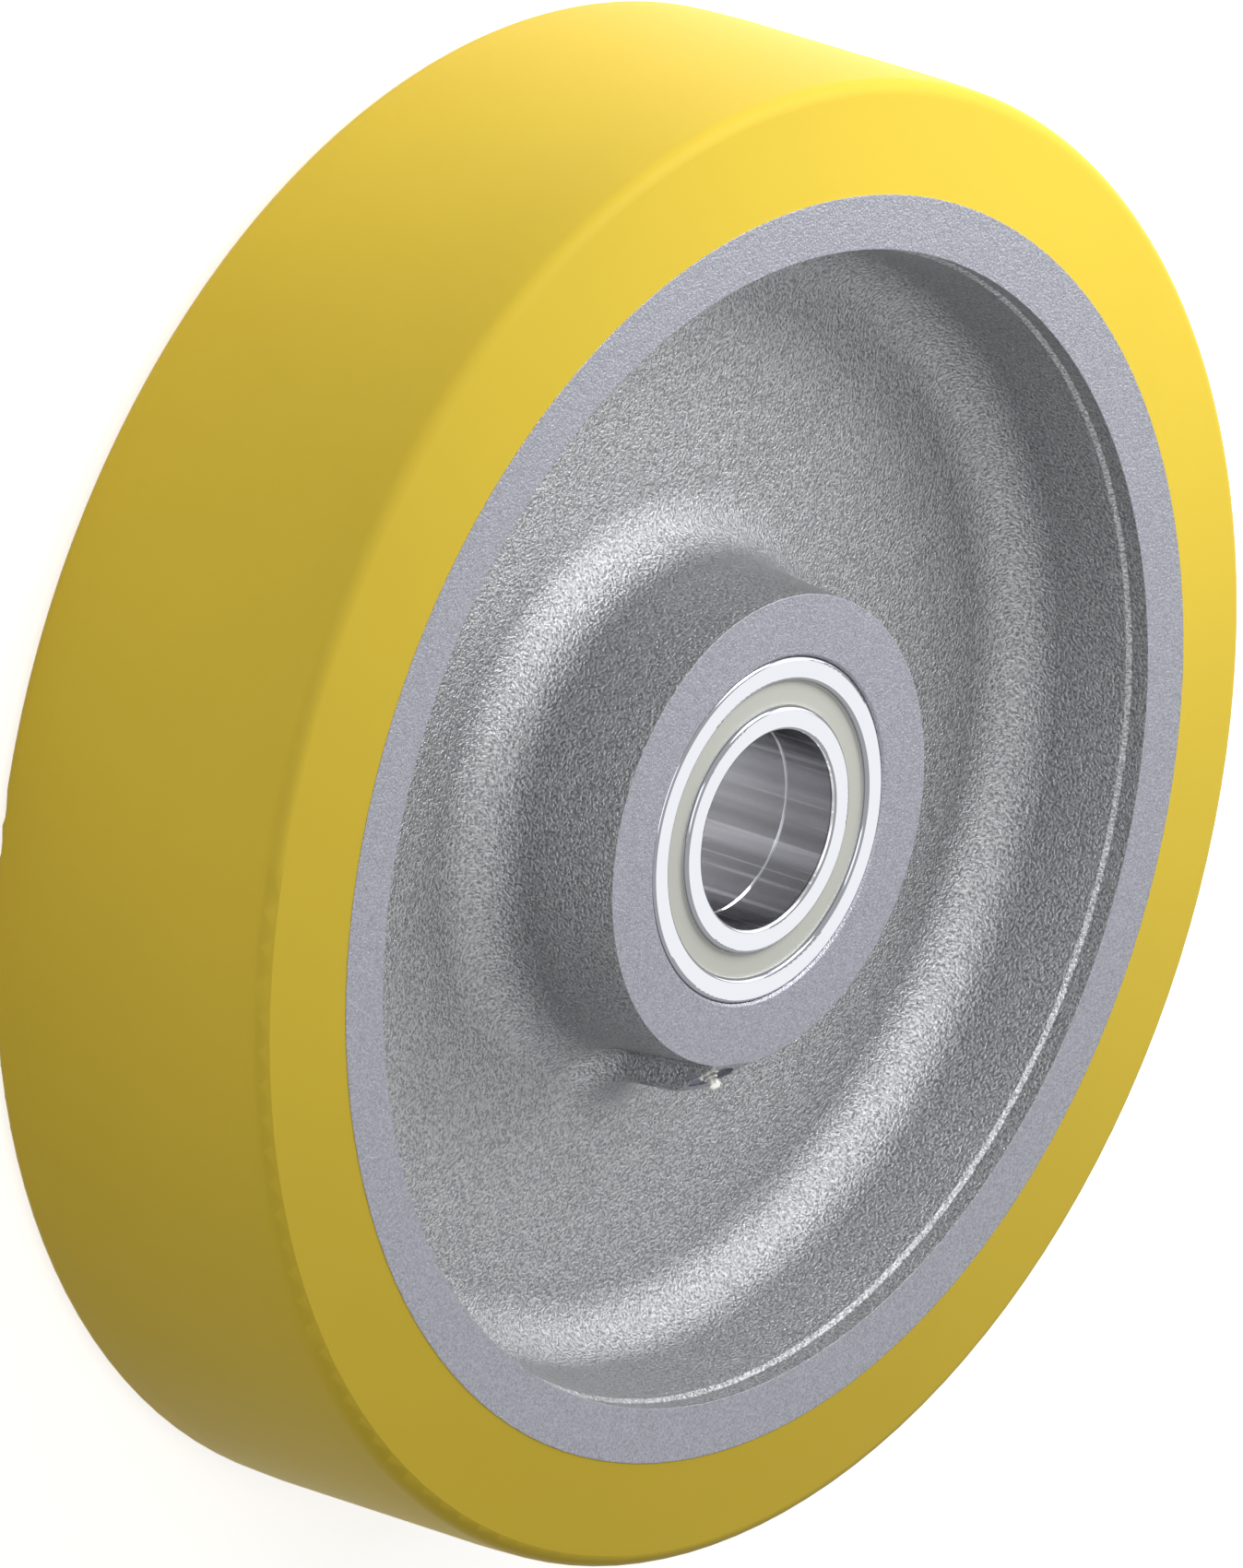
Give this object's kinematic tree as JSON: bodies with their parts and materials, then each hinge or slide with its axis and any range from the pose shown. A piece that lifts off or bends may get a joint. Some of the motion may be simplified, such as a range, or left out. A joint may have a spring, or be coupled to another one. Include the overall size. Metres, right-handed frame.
{
  "type": "heavy-duty wheel",
  "caption": "Heavy-duty castor wheel with a dished cast-iron centre, a polyurethane tyre, sealed ball bearings in its hub and a grease nipple.",
  "frame": {"origin": "centre of the wheel, on its axis, midway between its two faces", "axes": "+Z along the axle bore out of the front face, +X through the grease nipple"},
  "size_m": [0.3, 0.3, 0.075],
  "materials": {
    "cast_iron": "as cast and blasted, with machined faces",
    "polyurethane": "smooth cast polyurethane",
    "turned_steel": "turned",
    "bearing_steel": "ground",
    "cage_steel": "pressed",
    "seal_shield": "matt pale grey",
    "plated_steel": "zinc plated",
    "spring_steel": "drawn wire"
  },
  "bodies": {
    "wheel": {"wheel_centre": "cast_iron", "tyre": "polyurethane", "grease_nipple": "plated_steel", "nipple_spring": "spring_steel", "front_outer_ring": "bearing_steel", "front_seal": "seal_shield", "back_outer_ring": "bearing_steel", "back_seal": "seal_shield"},
    "axle_sleeve": {"front_inner_ring": "bearing_steel", "spacer_tube": "turned_steel", "back_inner_ring": "bearing_steel"},
    "front_ball_set": {"front_balls": "bearing_steel", "front_cage_half_outboard": "cage_steel", "front_cage_half_inboard": "cage_steel", "front_cage_rivets": "cage_steel"},
    "back_ball_set": {"back_balls": "bearing_steel", "back_cage_half_outboard": "cage_steel", "back_cage_half_inboard": "cage_steel", "back_cage_rivets": "cage_steel"},
    "nipple_valve": {"nipple_ball": "bearing_steel"}
  },
  "joints": [
    {"name": "axle_turn", "type": "hinge", "parent": "wheel", "child": "axle_sleeve", "pos_m": [0, 0, 0], "axis": [0, 0, 1], "continuous": true},
    {"name": "front_balls_turn", "type": "hinge", "parent": "wheel", "child": "front_ball_set", "pos_m": [0, 0, 0.0315], "axis": [0, 0, 1], "continuous": true},
    {"name": "back_balls_turn", "type": "hinge", "parent": "wheel", "child": "back_ball_set", "pos_m": [0, 0, -0.0315], "axis": [0, 0, 1], "continuous": true},
    {"name": "nipple_valve_press", "type": "slide", "parent": "wheel", "child": "nipple_valve", "axis": [-0.7071, 0, -0.7071], "range_m": [0, 0.0005], "stiffness_N_per_m": 50, "deforming": ["nipple_spring"]}
  ],
  "couplings": [
    {"joint": "front_balls_turn", "follows": "axle_turn", "ratio": 0.43866},
    {"joint": "back_balls_turn", "follows": "axle_turn", "ratio": 0.43866}
  ]
}
